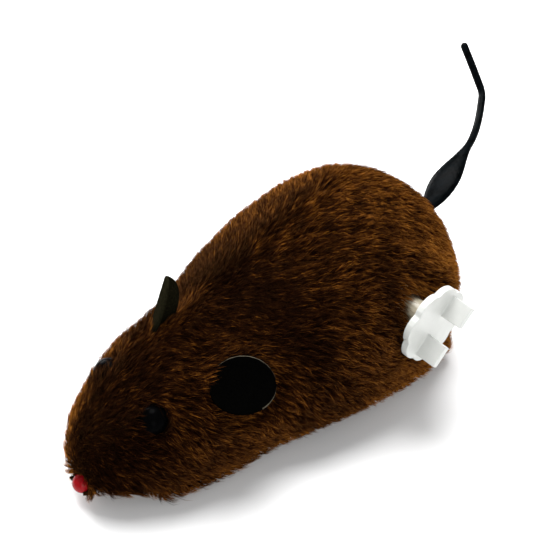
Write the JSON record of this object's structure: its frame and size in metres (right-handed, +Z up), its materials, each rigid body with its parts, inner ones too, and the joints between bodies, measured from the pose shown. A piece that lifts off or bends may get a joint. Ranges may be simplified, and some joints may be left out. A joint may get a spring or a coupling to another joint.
{
  "type": "wind-up toy mouse",
  "caption": "Clockwork plush mouse: a soft pile-fabric body with felt ears and a stiff curved tail over a spring motor wound by a winged key, running on wheels.",
  "frame": {"origin": "middle of the standing toy's box, tail included, on the floor it stands on", "axes": "+Z up; the nose points along -Y and the tail along +Y; the winding key stands out on the mouse's left side, along +X"},
  "size_m": [0.058, 0.1336, 0.0358],
  "materials": {
    "plush": "long brown pile",
    "felt": "black felt",
    "wadding": "fibre fill",
    "white_plastic": "moulded, satin",
    "grey_plastic": "moulded, matt",
    "natural_plastic": "uncoloured, moulded",
    "black_gloss": "polished",
    "red_gloss": "polished",
    "tail_vinyl": "glossy vinyl",
    "tyre": "matt",
    "steel": "drawn wire and turned",
    "spring_steel": "blued strip"
  },
  "bodies": {
    "body": {"plush_cover": "plush", "head_stuffing": "wadding", "rump_stuffing": "wadding", "eye_left": "black_gloss", "eye_washer_left": "natural_plastic", "eye_right": "black_gloss", "eye_washer_right": "natural_plastic", "nose_bead": "red_gloss", "ear_left": "felt", "ear_right": "felt", "mainspring": "spring_steel", "idler_pin": "steel", "motor_case": "natural_plastic", "motor_case_plate": "natural_plastic", "case_screw_1": "steel", "case_screw_2": "steel", "case_screw_3": "steel", "front_axle": "steel", "base_plate": "grey_plastic", "plate_screw_1": "steel", "plate_screw_2": "steel"},
    "drive": {"drive_axle": "steel", "axle_pinion": "white_plastic", "drive_wheel_left": "white_plastic", "drive_tyre_left": "tyre", "drive_wheel_right": "white_plastic", "drive_tyre_right": "tyre"},
    "intermediate": {"idler_gear": "white_plastic"},
    "winder": {"winding_key": "white_plastic", "winding_arbor": "steel", "great_wheel": "white_plastic"},
    "nose_roller": {"front_wheel": "grey_plastic"},
    "tail": {"tail": "tail_vinyl"}
  },
  "joints": [
    {"name": "drive_spin", "type": "hinge", "parent": "body", "child": "drive", "pos_m": [-0.00272, 0.00132, 0.0085], "axis": [1, 0, 0], "continuous": true},
    {"name": "intermediate_spin", "type": "hinge", "parent": "body", "child": "intermediate", "pos_m": [-0.00272, -0.00267, 0.01485], "axis": [1, 0, 0], "continuous": true},
    {"name": "key_turn", "type": "hinge", "parent": "body", "child": "winder", "pos_m": [-0.00272, 0.00132, 0.0212], "axis": [1, 0, 0], "continuous": true},
    {"name": "nose_roller_spin", "type": "hinge", "parent": "body", "child": "nose_roller", "pos_m": [-0.00272, -0.03718, 0.0045], "axis": [1, 0, 0], "continuous": true},
    {"name": "tail_bend", "type": "hinge", "parent": "body", "child": "tail", "pos_m": [-0.00272, 0.02242, 0.0172], "axis": [0, 0, 1], "range_deg": [-20, 20], "stiffness_Nm_per_rad": 0.0005}
  ],
  "couplings": [
    {"joint": "intermediate_spin", "follows": "drive_spin", "ratio": -0.5},
    {"joint": "key_turn", "follows": "drive_spin", "ratio": 0.25}
  ]
}
